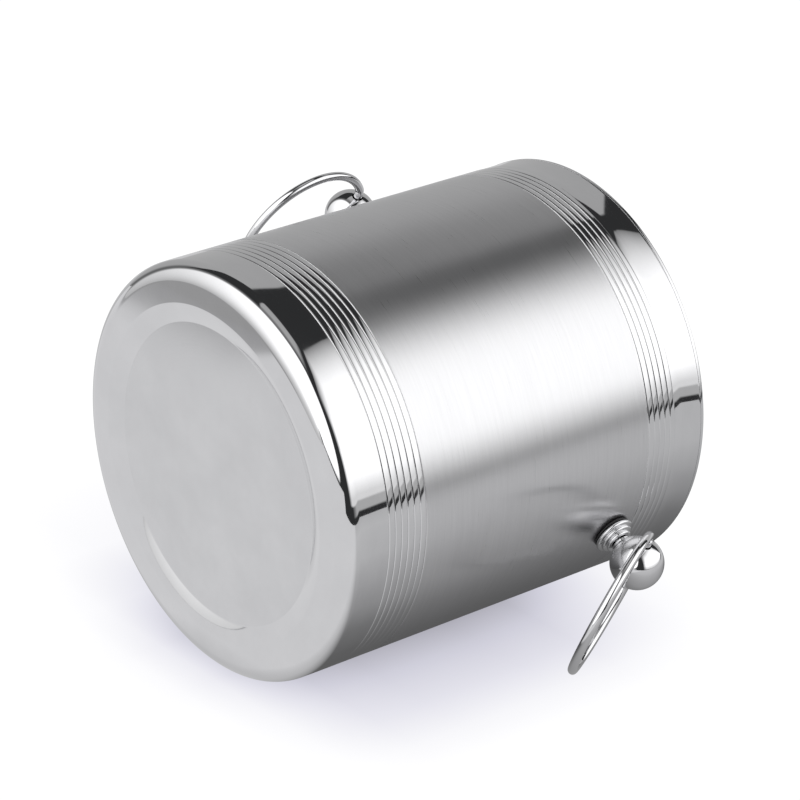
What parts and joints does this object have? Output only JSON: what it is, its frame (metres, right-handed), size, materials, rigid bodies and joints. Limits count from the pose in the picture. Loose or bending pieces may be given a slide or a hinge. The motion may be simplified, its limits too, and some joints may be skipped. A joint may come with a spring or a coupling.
{
  "type": "ice bucket",
  "caption": "Round double-walled metal ice bucket with grooved mirror bands, a satin body, a recessed base and a swinging wire ring on a ball knob at each side.",
  "frame": {"origin": "centre of the foot plane that the bucket stands on, on the bucket's axis", "axes": "+Z along the bucket's axis from the foot to the mouth; Y through the two handle knobs, with the front handle at +Y"},
  "size_m": [0.14, 0.2011, 0.1494],
  "materials": {
    "shell_steel": "satin, brushed around the body, with mirror-polished bands at the foot and mouth",
    "liner_steel": "fine satin with a polished folded rim",
    "chrome": "mirror polished",
    "fixing_steel": "plain zinc-plated, hidden inside the double wall",
    "seal_rubber": "matt black"
  },
  "bodies": {
    "bucket": {"outer_shell": "shell_steel", "inner_liner": "liner_steel", "front_seal": "seal_rubber", "front_rosette": "chrome", "front_knob": "chrome", "front_backing_plate": "fixing_steel", "front_lock_washer": "fixing_steel", "front_nut": "fixing_steel", "rear_seal": "seal_rubber", "rear_rosette": "chrome", "rear_knob": "chrome", "rear_backing_plate": "fixing_steel", "rear_lock_washer": "fixing_steel", "rear_nut": "fixing_steel"},
    "front_ring": {"front_ring": "chrome"},
    "rear_ring": {"rear_ring": "chrome"}
  },
  "joints": [
    {"name": "front_ring_swing", "type": "hinge", "parent": "bucket", "child": "front_ring", "pos_m": [0, 0.0843, 0.1163], "axis": [1, 0, 0], "range_deg": [-43, 172]},
    {"name": "rear_ring_swing", "type": "hinge", "parent": "bucket", "child": "rear_ring", "pos_m": [0, -0.0843, 0.1163], "axis": [-1, 0, 0], "range_deg": [-13, 202]}
  ]
}
